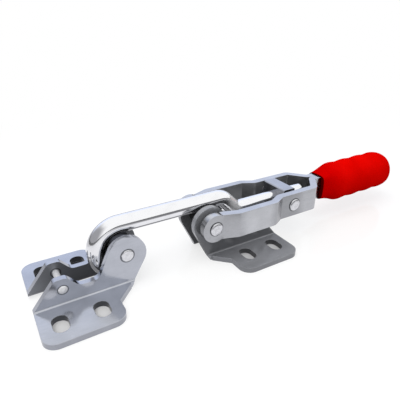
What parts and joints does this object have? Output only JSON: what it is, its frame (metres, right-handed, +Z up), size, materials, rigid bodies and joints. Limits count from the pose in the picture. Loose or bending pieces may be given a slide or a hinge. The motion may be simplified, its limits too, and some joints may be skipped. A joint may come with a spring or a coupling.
{
  "type": "toggle clamp",
  "caption": "Pull-action toggle clamp with a J-shaped hook, a two-plate lever with a moulded grip, a slotted base and a separate slotted catch bracket.",
  "frame": {"origin": "on the mounting plane, midway between the two front slots of the base", "axes": "+X along the clamp from the catch bracket to the grip, +Z up from the mounting plane, +Y to the far side"},
  "size_m": [0.2454, 0.064, 0.0356],
  "materials": {
    "catch_plate": "zinc plated, satin",
    "base_plate": "zinc plated, satin",
    "lever_plate": "zinc plated, satin",
    "hook": "bright plated, polished",
    "block": "zinc plated, satin",
    "pin": "bright zinc",
    "sleeve": "zinc plated",
    "grip": "glossy red dipped plastic"
  },
  "bodies": {
    "brackets": {"catch_plate_near": "catch_plate", "catch_plate_far": "catch_plate", "catch_pin": "pin", "catch_sleeve": "sleeve", "catch_rivet": "pin", "base_plate_near": "base_plate", "base_plate_far": "base_plate", "base_rivet": "pin", "pivot_pin": "pin", "pivot_sleeve": "sleeve", "pivot_washer_near": "sleeve", "pivot_washer_far": "sleeve"},
    "lever": {"lever_plate_near": "lever_plate", "lever_plate_far": "lever_plate", "tang_rivet_front": "pin", "tang_rivet_rear": "pin", "grip": "grip", "trunnion_pin_near": "pin", "trunnion_pin_far": "pin", "trunnion_washer_near": "sleeve", "trunnion_washer_far": "sleeve"},
    "hook": {"trunnion_block": "block", "j_hook": "hook"}
  },
  "joints": [
    {"name": "lever_hinge", "type": "hinge", "parent": "brackets", "child": "lever", "pos_m": [-0.0183, 0, 0.02185], "axis": [0, -1, 0], "range_deg": [0, 90]},
    {"name": "hook_hinge", "type": "hinge", "parent": "lever", "child": "hook", "pos_m": [0.0356, 0, 0.02185], "axis": [0, -1, 0], "range_deg": [-58.5, 0]}
  ],
  "couplings": [
    {"joint": "hook_hinge", "follows": "lever_hinge", "ratio": -0.65}
  ]
}
